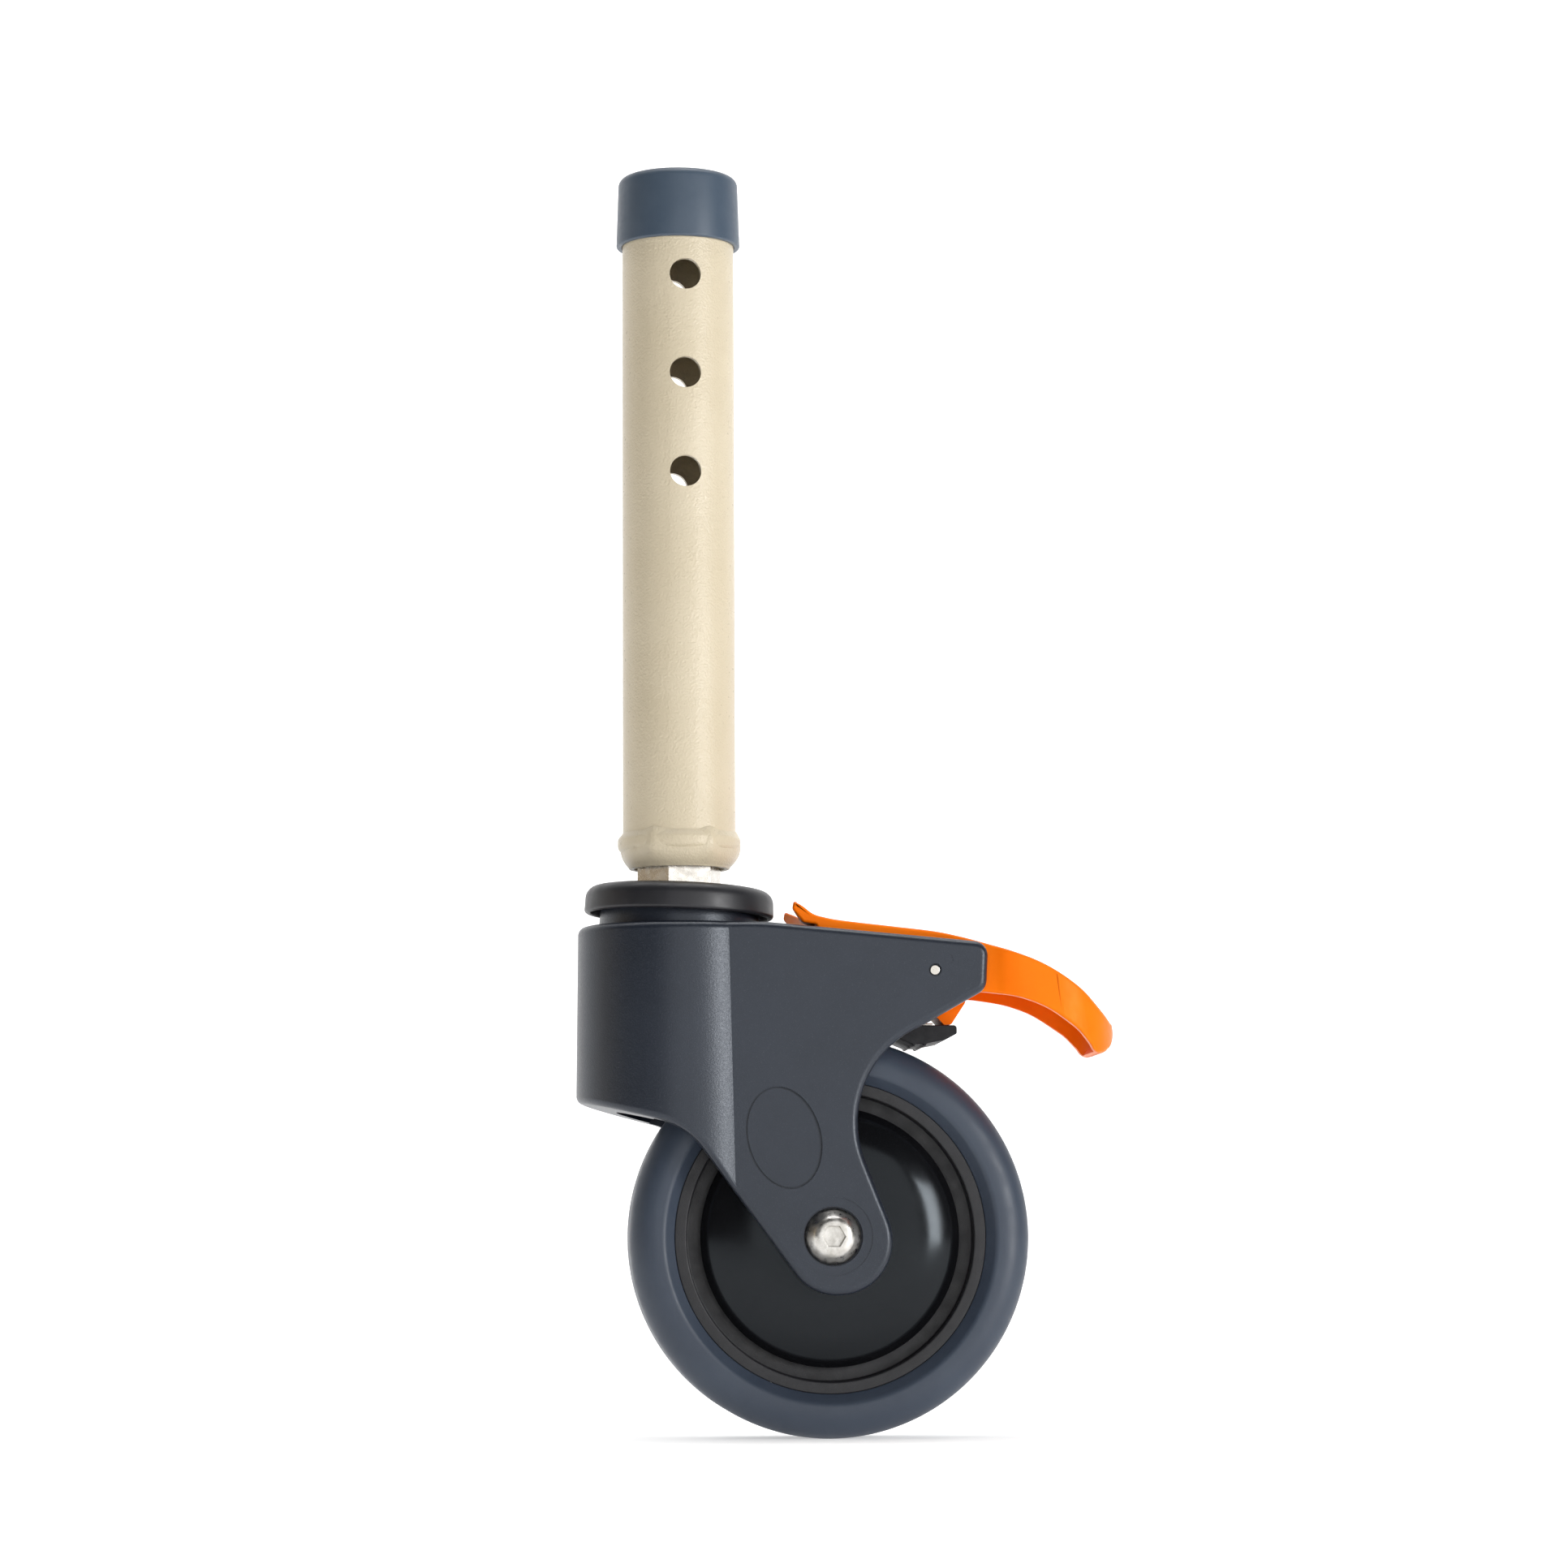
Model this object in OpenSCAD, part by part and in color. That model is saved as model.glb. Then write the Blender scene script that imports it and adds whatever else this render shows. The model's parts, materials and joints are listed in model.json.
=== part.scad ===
// Swivel castor with a round tube stem, a moulded fork and a foot brake.
// X runs from the swivel axis towards the wheel, Z is up, and the bolt head is on the -Y side.
// The origin is the centre of the lowest cross hole, on the swivel axis.

/* [Stem tube] */
// Outer diameter of the stem tube
tube_d = 28.6; // [27.6:0.1:30]
// Wall of the stem tube
tube_wall = 1.65; // [1.2:0.05:2.2]
// Diameter of the cross holes
hole_d = 8; // [5:0.5:10]
// Distance from one cross hole to the next
hole_pitch = 25.4; // [20:0.2:30]
// Number of cross holes
hole_count = 3; // [1:1:4]
// Turn of the cross holes round the stem, in degrees
hole_turn = 5.45; // [0:0.05:10]
// Height of the lowest cross hole above the tube's foot
hole_foot = 96.2; // [60:0.2:120]
// Length of tube above the highest cross hole
tube_above = 25.3; // [22:0.1:40]
// How far the weld bead stands out from the tube
bead_h = 1.3; // [0.5:0.1:2]

/* [Tube cap] */
// Wall of the cap round the tube
cap_wall = 1.4; // [1:0.1:2]
// Length of the cap's skirt below the tube's end
cap_skirt = 15.7; // [8:0.1:18]
// Thickness of the cap's top
cap_top = 2.4; // [1.5:0.1:4]
// How much narrower the cap is at its top than at its mouth, on the radius
cap_draft = 0.6; // [0.2:0.1:1]

/* [Swivel stem] */
// Diameter of the stem's shaft and thread
stem_d = 12; // [10:0.5:14]
// Hexagon across its flats
hex_af = 19; // [18:0.5:22]
// Turn of the hexagon round the stem, in degrees
hex_turn = 13.5; // [0:0.5:60]
// Height of the hexagon
hex_h = 6; // [5:0.5:8]
// Diameter of the collar on the inner ring
collar_d = 18; // [17:0.1:18.4]
// Height of the collar
collar_h = 11; // [10:0.5:14]
// Depth of the stem's thread in the foot plug
thread_depth = 20; // [12:1:30]
// Height of the foot plug's rim between the hexagon and the tube
plug_rim_h = 3; // [2.5:0.5:5]

/* [Dust cover] */
// Diameter of the dust cover
cover_d = 48; // [46:0.5:52]
// Height of the dust cover
cover_h = 7; // [6:0.25:8]
// Wall of the dust cover
cover_wall = 1.5; // [1:0.1:2]

/* [Swivel bearings] */
// Outer diameter of a swivel bearing
swivel_od = 32; // [30:0.5:34]
// Width of a swivel bearing
swivel_b = 10; // [9:0.5:11]
// Number of balls in each swivel bearing
swivel_balls_n = 7; // [5:1:7]
// Diameter of a swivel ball
swivel_ball_d = 5.8; // [5:0.1:6]
// Distance between the two swivel bearings
swivel_gap = 3; // [2:0.5:5]
// Thickness of the washer under the lower bearing
stem_washer_t = 1.5; // [1:0.1:2]
// Height of the stem nut
stem_nut_h = 6; // [5:0.5:6]

/* [Fork] */
// Distance from the swivel axis to the axle
trail = 37; // [35:0.5:40]
// Height of the fork's top above the wheel
fork_rise = 28.2; // [27.8:0.1:32]
// Radius of the swivel housing at its top
housing_r = 25.65; // [25:0.05:27]
// How much wider the housing is at its foot, on the radius
housing_draft = 0.6; // [0:0.1:1]
// Free space between the tyre and each leg
tyre_gap = 3; // [2:0.1:4]
// Thickness of a side plate
plate_t = 4; // [3:0.1:4.5]
// Distance from the axle to the end of a leg
leg_r = 14.5; // [14:0.1:18]
// Height of the oval recess in each side of the fork
oval_h = 25.8; // [20:0.2:28]
// Width of the oval recess
oval_w = 18.4; // [14:0.2:20]
// Depth of the oval recess
oval_depth = 0.5; // [0.2:0.1:1]
// Distance from the swivel axis to the end of the pedal arm
arm_x = 76.2; // [74:0.2:80]
// Height of the neck above the fork's top
neck_h = 6.3; // [5:0.1:6.5]
// Radius of the neck
neck_r = 19.8; // [19:0.1:20.5]

/* [Wheel] */
// Diameter of the wheel
wheel_d = 100; // [96:0.5:102]
// Width of the tyre
tyre_w = 32; // [28:0.5:33]
// Radius of the tyre's shoulder
shoulder_r = 7; // [4:0.5:9]
// Thickness of the tyre, from the rim out
tyre_h = 11.1; // [9.5:0.1:13]
// Width of the rim at that line
rim_w = 26.8; // [26:0.2:28]
// Width of the rim's lip
lip_w = 3; // [2:0.1:4]
// Width of the groove between the lip and the hub cover
groove_w = 3.5; // [2.5:0.1:5]
// Thickness of the hub cover
hub_cover_t = 2; // [1.5:0.1:2.5]
// Outer diameter of a wheel bearing
wheel_od = 28; // [26:0.5:30]
// Width of a wheel bearing
wheel_b = 8; // [7:0.5:8]
// Distance from a leg's inner face to the middle of a wheel bearing
wheel_bearing_in = 8; // [6:0.5:9]
// Number of balls in each wheel bearing
wheel_balls_n = 8; // [6:1:8]
// Diameter of a wheel ball
wheel_ball_d = 4.6; // [4:0.1:4.8]

/* [Axle] */
// Diameter of the axle bolt
bolt_d = 8; // [6:0.5:8]
// Diameter of the bolt's head
head_d = 14; // [12:0.5:15]
// Height of the bolt's head
head_h = 4.4; // [3:0.1:5]
// Key size of the bolt's socket
key_af = 5; // [4:0.5:6]
// How far the head and the washer sink into the fork's sides
seat_depth = 1.8; // [0.5:0.1:2.5]
// Diameter of the axle sleeve
sleeve_d = 12; // [11:0.5:13]
// Axle nut across its flats
nut_af = 13; // [12:0.5:14]
// Height of the axle nut
nut_h = 6.5; // [5:0.5:8]

/* [Brake] */
// Distance from the swivel axis to the pedal's pin
pedal_pin_x = 62.8; // [62:0.1:64]
// Height of the pedal's pin above the wheel
pedal_pin_rise = 16; // [15.5:0.1:17]
// Diameter of the pedal's pin
pin_d = 2.5; // [2:0.1:4]
// Radial clearance of the pedal and the lever on their pins
pin_gap = 0.05; // [0.03:0.01:0.1]
// Distance from the swivel axis to the pedal's tip
pedal_reach = 110; // [104:0.2:116]
// Free space between the pedal and each side plate
pedal_gap = 0.8; // [0.4:0.1:1.5]
// How much wider the pedal's outer end is, on each side
paddle_flare = 1.6; // [0:0.1:3]
// Wall of the pedal
pedal_wall = 2.4; // [1.8:0.1:3]
// Drop from the pedal's pin to the top of the brake lever
cam_drop = 12.5; // [12.3:0.05:12.6]
// Distance from the swivel axis to the lever's pin
lever_pin_x = 42; // [41:0.1:43]
// Height of the lever's pin above the wheel
lever_pin_rise = 10; // [9:0.1:11]
// Thickness of the brake lever
lever_t = 2; // [1.5:0.1:2.5]
// Width of the brake lever
lever_w = 17; // [14:0.5:20]
// Width of the brake shoe
shoe_w = 28; // [24:0.5:30]

/* [Hidden] */
$fn = 96;

// Clearance between pieces that are pushed together by hand
slip = 0.15;
// Clearance of a shaft in a ring or a bore that doesn't turn on it
seat_gap = 0.02;
// Cut-out depth beyond a face, so that a cut leaves no skin
past = 1;

wheel_r = wheel_d / 2;
pedal_pin_z = wheel_r + pedal_pin_rise;
lever_pin_z = wheel_r + lever_pin_rise;
// Heights above the axle, from the fork's top upwards
fork_top = wheel_r + fork_rise;
bearing_top = fork_top - 1.2;
hex_z = bearing_top + collar_h;
foot_z = hex_z + hex_h;
tube_z = foot_z + plug_rim_h;
hole_z = tube_z + hole_foot;
tube_end = hole_z + (hole_count - 1) * hole_pitch + tube_above;
cap_mouth = tube_end - cap_skirt;
neck_top = fork_top + neck_h;
// Heights from the fork's top downwards
upper_z = bearing_top - swivel_b;
lower_z = upper_z - swivel_gap - swivel_b;
washer_z = lower_z - stem_washer_t;
nut_z = washer_z - stem_nut_h;
stem_end = nut_z - 0.5;

tube_r = tube_d / 2;
stem_r = stem_d / 2;
tyre_y = tyre_w / 2;
gap_y = tyre_y + tyre_gap;
side_y = gap_y + plate_t;
fork_w = 2 * side_y;
pedal_w = 2 * (gap_y - pedal_gap);
paddle_w = pedal_w + 2 * paddle_flare;
rim_r = wheel_r - tyre_h;
hub_cover_r = rim_r - lip_w - groove_w;
seat_y = side_y - seat_depth;
sleeve_r = sleeve_d / 2;
bolt_r = bolt_d / 2;
pin_r = pin_d / 2;
plug_r = tube_r - tube_wall - seat_gap;
rim_y = rim_w / 2;
// Free space between the tyre and the fork's bridge
wheel_room = tyre_gap;
// Middle of a wheel bearing, from the wheel's middle plane
wheel_bearing_y = gap_y - wheel_bearing_in;
// Depth of the ball grooves in the rings, and the clearance of the balls in them
groove = 1;
ball_gap = 0.1;

// A unit vector along v
function unit(v) = v / norm(v);
// The points of the arc that rounds corner q, which is [x, y, radius], between its neighbours p and s
function corner(p, q, s, steps) =
    q[2] == 0 ? [[q[0], q[1]]] :
    let (a = unit([p[0] - q[0], p[1] - q[1]]), b = unit([s[0] - q[0], s[1] - q[1]]),
        half = acos(a * b) / 2, mid = [q[0], q[1]] + unit(a + b) * q[2] / sin(half),
        from = [q[0], q[1]] + a * q[2] / tan(half) - mid, to = [q[0], q[1]] + b * q[2] / tan(half) - mid,
        start = atan2(from[1], from[0]), turn = (atan2(to[1], to[0]) - start + 540) % 360 - 180)
    [for (i = [0 : steps]) mid + q[2] * [cos(start + turn * i / steps), sin(start + turn * i / steps)]];
// A polygon with rounded corners, from a list of [x, y, radius]
function rounded(c, steps = 6) =
    [for (i = [0 : len(c) - 1]) each corner(c[(i + len(c) - 1) % len(c)], c[i], c[(i + 1) % len(c)], steps)];

// A smooth line through the points p, with n steps from each to the next
function through(p, n = 4) = concat([for (i = [0 : len(p) - 2])
    let (a = p[max(i - 1, 0)], b = p[i], c = p[i + 1], d = p[min(i + 2, len(p) - 1)])
    each [for (k = [0 : n - 1]) let (t = k / n)
        b + ((c - a) + ((2 * a - 5 * b + 4 * c - d) + (3 * b - a - 3 * c + d) * t) * t) * t / 2]],
    [p[len(p) - 1]]);
// The open line p moved by g to its right-hand side
function beside(p, g) = [for (i = [0 : len(p) - 1])
    let (v = unit(p[min(i + 1, len(p) - 1)] - p[max(i - 1, 0)])) p[i] + g * [v[1], -v[0]]];
// A closed profile from its upper half, in order, and the same half mirrored below
function both_halves(half) = concat(half,
    [for (i = [len(half) - 1 : -1 : 0]) [half[i][0], -half[i][1], half[i][2]]]);

// Moves a piece from heights above the axle to the part's own frame
module from_axle() {
    translate([0, 0, -hole_z]) children();
}

// Stands a profile drawn in X and Z upright, with its width w centred on the middle plane
module upright(w) {
    rotate([90, 0, 0]) translate([0, 0, -w / 2]) linear_extrude(w) children();
}

// Turns a piece drawn round Z so that it lies round the axle, its top towards +Y
module on_axle() {
    from_axle() translate([trail, 0, 0]) rotate([-90, 0, 0]) children();
}

// A pin of length w across the middle plane at x and z
module cross_pin(x, z, r, w) {
    translate([x, w / 2, z]) rotate([90, 0, 0]) cylinder(r = r, h = w);
}

// A plain ring
module ring(r_out, r_in, h) {
    difference() {
        cylinder(r = r_out, h = h);
        translate([0, 0, -past]) cylinder(r = r_in, h = h + 2 * past);
    }
}

// The inner ring of a ball bearing, from its seat r_in out to the land beside the balls
module inner_race(r_in, pitch_r, ball_d, h) {
    rotate_extrude() difference() {
        translate([r_in, 0]) square([pitch_r - ball_d / 2 + groove - r_in, h]);
        translate([pitch_r, h / 2]) circle(r = ball_d / 2 + ball_gap);
    }
}

// The outer ring of a ball bearing
module outer_race(r_out, pitch_r, ball_d, h) {
    rotate_extrude() difference() {
        translate([pitch_r + ball_d / 2 - groove, 0]) square([r_out - pitch_r - ball_d / 2 + groove, h]);
        translate([pitch_r, h / 2]) circle(r = ball_d / 2 + ball_gap);
    }
}

// A ring of balls
module ball_ring(n, pitch_r, ball_d) {
    for (i = [0 : n - 1]) rotate([0, 0, (i + 0.5) * 360 / n]) translate([pitch_r, 0, 0]) sphere(d = ball_d);
}

swivel_pitch = (swivel_od + stem_d) / 4;
wheel_pitch = (wheel_od + sleeve_d) / 4;

// Tube with its cross holes, and the weld bead that joins it to the foot plug
module stem_tube() {
    bead_r = tube_r + bead_h;
    bead = [[plug_r + seat_gap, 0, 0], [tube_r - 1, 0, 1], [bead_r, 0.4, 1.8], [bead_r, 3.6, 1.4],
        [tube_r, 5.2, 0.4], [tube_r - tube_wall / 2, 5.2, 0]];
    color("wheat") from_axle() difference() {
        union() {
            translate([0, 0, tube_z]) ring(tube_r, tube_r - tube_wall, tube_end - tube_z);
            translate([0, 0, tube_z]) rotate_extrude() polygon(rounded(bead));
        }
        for (i = [0 : hole_count - 1])
            translate([0, 0, hole_z + i * hole_pitch]) rotate([90, 0, hole_turn])
                translate([0, 0, -tube_d]) cylinder(d = hole_d, h = 2 * tube_d);
    }
}

// Push-on cap, slightly conical, with a rounded top edge
module tube_cap() {
    r_in = tube_r + slip;
    r_out = r_in + cap_wall;
    top = tube_end + cap_top;
    wall = [[r_in, cap_mouth, 0.2], [r_out, cap_mouth, 0.5], [r_out - cap_draft, top, 2.2], [0, top, 0],
        [0, tube_end, 0], [r_in, tube_end, 0]];
    color("slategray") from_axle() rotate_extrude() polygon(rounded(wall));
}

// Threaded plug, its rim rounded in towards the hexagon, with a lip round the hexagon's top
module foot_plug() {
    lip_in = hex_af / 2 / cos(30) + 0.5;
    lip_out = lip_in + 1.2;
    lip_z = foot_z - 1;
    rim_out = tube_r - 0.6;
    body = [[stem_r + seat_gap, foot_z, 0], [lip_in, foot_z, 0.2], [lip_in, lip_z, 0.2],
        [lip_out, lip_z, 0.4],
        [rim_out, lip_z + plug_rim_h * 0.7, 1.2], [rim_out, tube_z, 0],
        [plug_r, tube_z, 0], [plug_r, foot_z + thread_depth + 2, 0.8],
        [stem_r + seat_gap, foot_z + thread_depth + 2, 0]];
    color("tan") from_axle() rotate_extrude() polygon(rounded(body));
}

// Turned stem: thread and shaft in one, the collar that carries the load, and the hexagon
module swivel_stem() {
    hex_r = hex_af / 2 / cos(30);
    color("silver") from_axle() {
        translate([0, 0, stem_end]) cylinder(r = stem_r, h = foot_z + thread_depth - stem_end);
        translate([0, 0, bearing_top]) cylinder(r = collar_d / 2, h = collar_h);
        intersection() {
            translate([0, 0, hex_z]) rotate([0, 0, hex_turn]) cylinder(r = hex_r, h = hex_h, $fn = 6);
            translate([0, 0, hex_z]) rotate_extrude() polygon([[0, 0], [hex_r - 1.5, 0], [hex_r, 0.8],
                [hex_r, hex_h - 0.8], [hex_r - 1.5, hex_h], [0, hex_h]]);
        }
    }
}

// Cover pushed on the collar from below, up to the hexagon
module dust_cover() {
    r_out = cover_d / 2;
    r_in = r_out - cover_wall;
    r_hole = collar_d / 2 + seat_gap;
    low = hex_z - cover_h;
    wall = [[r_hole, hex_z, 0], [r_out - 0.3, hex_z, 3], [r_out, low, 0.6], [r_in, low, 0.3],
        [r_in, hex_z - cover_wall, 1.5], [r_hole, hex_z - cover_wall, 0]];
    color("dimgray") from_axle() rotate_extrude() polygon(rounded(wall));
}

module upper_inner_race() {
    color("lightgray") from_axle() translate([0, 0, upper_z])
        inner_race(stem_r + seat_gap, swivel_pitch, swivel_ball_d, swivel_b);
}

module lower_inner_race() {
    color("lightgray") from_axle() translate([0, 0, lower_z])
        inner_race(stem_r + seat_gap, swivel_pitch, swivel_ball_d, swivel_b);
}

module race_spacer() {
    color("gray") from_axle() translate([0, 0, lower_z + swivel_b])
        ring(swivel_pitch - swivel_ball_d / 2, stem_r + seat_gap, swivel_gap);
}

module stem_washer() {
    color("lightgray") from_axle() translate([0, 0, washer_z])
        ring(swivel_pitch - swivel_ball_d / 2 + 1, stem_r + seat_gap, stem_washer_t);
}

module stem_nut() {
    color("silver") from_axle() translate([0, 0, nut_z]) difference() {
        cylinder(r = hex_af / 2 / cos(30), h = stem_nut_h, $fn = 6);
        translate([0, 0, -past]) cylinder(r = stem_r + seat_gap, h = stem_nut_h + 2 * past);
    }
}

// Height of the housing's foot, at its left side
foot_low = wheel_r - 15.7;
// Side view of the fork: housing on the left, pedal arm on the right, leg down to the axle
function fork_outline() = rounded([
    [-housing_r - 2, fork_top, 0], [20, fork_top, 60], [arm_x + 0.1, fork_top - 5.2, 3.6],
    [arm_x - 0.5, pedal_pin_z - 4.7, 4], [pedal_pin_x - 2.3, pedal_pin_z - 13.3, 25],
    [trail - 0.7, wheel_r - 9.2, 26], [trail + leg_r * 1.469, -leg_r, leg_r * 0.931],
    [trail - leg_r * 0.372, -leg_r, leg_r * 0.862], [0.8, wheel_r - 22.6, 20],
    [-housing_r - 2, foot_low, 0]], 10);

// Swivel housing with the neck on top, its outer edges rounded
module housing_solid() {
    foot_r = housing_r + housing_draft;
    wall = [[0, foot_low - 14.3, 0], [foot_r, foot_low - 14.3, 0],
        [housing_r, fork_top, 2], [neck_r + 0.6, fork_top, 0.5],
        [neck_r, neck_top, 0.8], [0, neck_top, 0]];
    rotate_extrude() polygon(rounded(wall));
}

// Shallow marks in one side: the oval recess, the ring round the bolt and the pin's wider mouth
module side_marks() {
    translate([trail - 12.1, -side_y + oval_depth, 24.4]) rotate([90, 0, 0]) rotate([0, 0, 15])
        linear_extrude(3) polygon([for (i = [0 : 5 : 355]) [oval_w / 2 * cos(i), oval_h / 2 * sin(i)]]);
    translate([trail, -side_y + 0.2, 0]) rotate([90, 0, 0]) cylinder(r = head_d / 2 + 2.8, h = 3);
    translate([pedal_pin_x, -side_y + 1, pedal_pin_z]) rotate([90, 0, 0]) cylinder(r = pin_r + 0.35, h = 3);
    // Round mark of the mould beside the pin
    translate([pedal_pin_x + 3.2, -side_y + 0.15, pedal_pin_z + 2.9]) rotate([90, 0, 0]) ring(1.15, 0.85, 3);
}

module fork() {
    swivel_r = swivel_od / 2 + seat_gap;
    color("darkslategray") from_axle() difference() {
        union() {
            intersection() {
                housing_solid();
                upright(2 * housing_r + 8) union() {
                    polygon(fork_outline());
                    translate([-housing_r - 2, fork_top - past])
                        square([2 * housing_r + 4, neck_h + 2 * past]);
                }
            }
            intersection() {
                upright(fork_w) polygon(fork_outline());
                translate([0, -side_y, -leg_r - past])
                    cube([arm_x + past, fork_w, fork_top + leg_r + 2 * past]);
            }
        }
        // Room for the wheel between the legs
        cross_pin(trail, 0, wheel_r + wheel_room, 2 * gap_y);
        // Channel for the pedal and the brake lever
        translate([lever_pin_x - 9, -gap_y, lever_pin_z - 14])
            cube([arm_x, 2 * gap_y, fork_top]);
        // Seats of the two swivel bearings, with a ledge between them
        translate([0, 0, upper_z]) cylinder(r = swivel_r, h = fork_top);
        translate([0, 0, upper_z - swivel_gap - past]) cylinder(r = swivel_r - 3, h = swivel_gap + 2 * past);
        cylinder(r = swivel_r, h = lower_z + swivel_b);
        // Axle bore, with the seats of the bolt's head and the washer
        cross_pin(trail, 0, bolt_r + seat_gap, fork_w + 2 * past);
        translate([trail, -seat_y, 0]) rotate([90, 0, 0]) cylinder(r = head_d / 2 + 0.35, h = fork_w);
        translate([trail, seat_y, 0]) rotate([-90, 0, 0]) cylinder(r = nut_af / 2 + 2.1, h = fork_w);
        // Bores of the pedal's pin, right through, and of the lever's pin, blind from inside
        cross_pin(pedal_pin_x, pedal_pin_z, pin_r + seat_gap, fork_w + 2 * past);
        side_marks();
        mirror([0, 1, 0]) side_marks();
        cross_pin(lever_pin_x, lever_pin_z, pin_r + seat_gap, 2 * gap_y + plate_t);
    }
}

module upper_outer_race() {
    color("lightgray") from_axle() translate([0, 0, upper_z])
        outer_race(swivel_od / 2, swivel_pitch, swivel_ball_d, swivel_b);
}

module lower_outer_race() {
    color("lightgray") from_axle() translate([0, 0, lower_z])
        outer_race(swivel_od / 2, swivel_pitch, swivel_ball_d, swivel_b);
}

module swivel_balls() {
    color("white") from_axle() for (z = [lower_z, upper_z])
        translate([0, 0, z + swivel_b / 2]) ball_ring(swivel_balls_n, swivel_pitch, swivel_ball_d);
}

// Button head bolt from the -Y side
module axle_bolt() {
    head = [[0, 0, 0], [head_d / 2, 0, 0.2], [head_d / 2, -0.8, 0.4], [head_d / 2 - 2.6, -head_h, 2.6],
        [0, -head_h, 0]];
    color("silver") on_axle() difference() {
        union() {
            translate([0, 0, -seat_y]) cylinder(r = bolt_r, h = 2 * seat_y + nut_h + 3);
            translate([0, 0, -seat_y]) rotate_extrude() polygon(rounded(head));
        }
        translate([0, 0, -seat_y - head_h - past])
            cylinder(r = key_af / 2 / cos(30), h = 2.6 + past, $fn = 6);
    }
}

module axle_washer() {
    color("lightgray") on_axle() translate([0, 0, seat_y]) ring(nut_af / 2 + 1.5, bolt_r + seat_gap, 1.6);
}

module axle_nut() {
    color("silver") on_axle() translate([0, 0, seat_y + 1.6]) difference() {
        cylinder(r = nut_af / 2 / cos(30), h = nut_h, $fn = 6);
        translate([0, 0, -past]) cylinder(r = bolt_r + seat_gap, h = nut_h + 2 * past);
    }
}

module axle_sleeve() {
    color("silver") on_axle() translate([0, 0, -gap_y]) ring(sleeve_r, bolt_r + seat_gap, 2 * gap_y);
}

module wheel_inner_races() {
    color("lightgray") on_axle() for (side = [-1, 1])
        translate([0, 0, side * wheel_bearing_y - wheel_b / 2])
            inner_race(sleeve_r + seat_gap, wheel_pitch, wheel_ball_d, wheel_b);
}

module pedal_pin() {
    color("silver") from_axle() cross_pin(pedal_pin_x, pedal_pin_z, pin_r, fork_w - 0.6);
}

module lever_pin() {
    color("silver") from_axle() cross_pin(lever_pin_x, lever_pin_z, pin_r, 2 * gap_y + plate_t - 0.4);
}

// Tyre with round shoulders, its sides drawn in to the rim
module tyre() {
    side_r = rim_r + 2.6;
    edge = min(shoulder_r, wheel_r - side_r - 1);
    section = [[rim_r, -rim_y, 0.6], [side_r, -tyre_y, 2], [wheel_r, -tyre_y, edge], [wheel_r, tyre_y, edge],
        [side_r, tyre_y, 2], [rim_r, rim_y, 0.6]];
    color("dimgray") on_axle() rotate_extrude($fn = 180) polygon(rounded(section));
}

// Rim: lip and groove on each side, a web, and the hub that holds the bearings
module wheel_rim() {
    bore_r = wheel_od / 2 + seat_gap;
    hub_r = bore_r + 3;
    hub_y = wheel_bearing_y + wheel_b / 2;
    shelf_y = rim_y - 4.6;
    half = [[bore_r - 2, wheel_bearing_y - wheel_b / 2, 0], [bore_r, wheel_bearing_y - wheel_b / 2, 0],
        [bore_r, hub_y, 0.3], [hub_r, hub_y, 0.5], [hub_r, 3, 2], [hub_cover_r - 2.4, 3, 2],
        [hub_cover_r - 1.4, shelf_y, 0.5], [rim_r - lip_w, shelf_y, 0.5], [rim_r - lip_w, rim_y, 0.5],
        [rim_r - seat_gap, rim_y, 0.3]];
    color("black") on_axle() rotate_extrude($fn = 180) polygon(rounded(both_halves(half)));
}

// Domed cover over the hub on one side
module hub_cover() {
    t = hub_cover_t;
    shelf_y = rim_y - 4.6;
    hub_y = wheel_bearing_y + wheel_b / 2;
    dome = [[hub_cover_r, shelf_y, 0.2], [hub_cover_r, rim_y - 0.4, 1],
        [wheel_od / 2 + 2, hub_y + t + 0.4, 14],
        [sleeve_r + 3, hub_y + t + 0.4, 0.6], [sleeve_r + 3, hub_y + 0.3, 0.2],
        [wheel_od / 2 + 4, hub_y + 0.3, 8],
        [hub_cover_r - t, rim_y - 1.6 - t / 2, 0.5], [hub_cover_r - t, shelf_y, 0.2]];
    rotate_extrude($fn = 180) polygon(rounded(dome));
}

module near_hub_cover() {
    color("black") on_axle() mirror([0, 0, 1]) hub_cover();
}

module far_hub_cover() {
    color("black") on_axle() hub_cover();
}

module wheel_outer_races() {
    color("lightgray") on_axle() for (side = [-1, 1])
        translate([0, 0, side * wheel_bearing_y - wheel_b / 2])
            outer_race(wheel_od / 2, wheel_pitch, wheel_ball_d, wheel_b);
}

module wheel_balls() {
    color("white") on_axle() for (side = [-1, 1])
        translate([0, 0, side * wheel_bearing_y]) ball_ring(wheel_balls_n, wheel_pitch, wheel_ball_d);
}

// Side view of the pedal, from its pin: the upper line runs from the tab over the deck to the tip
pedal_scale = (pedal_reach - pedal_pin_x) / 47.2;
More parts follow.
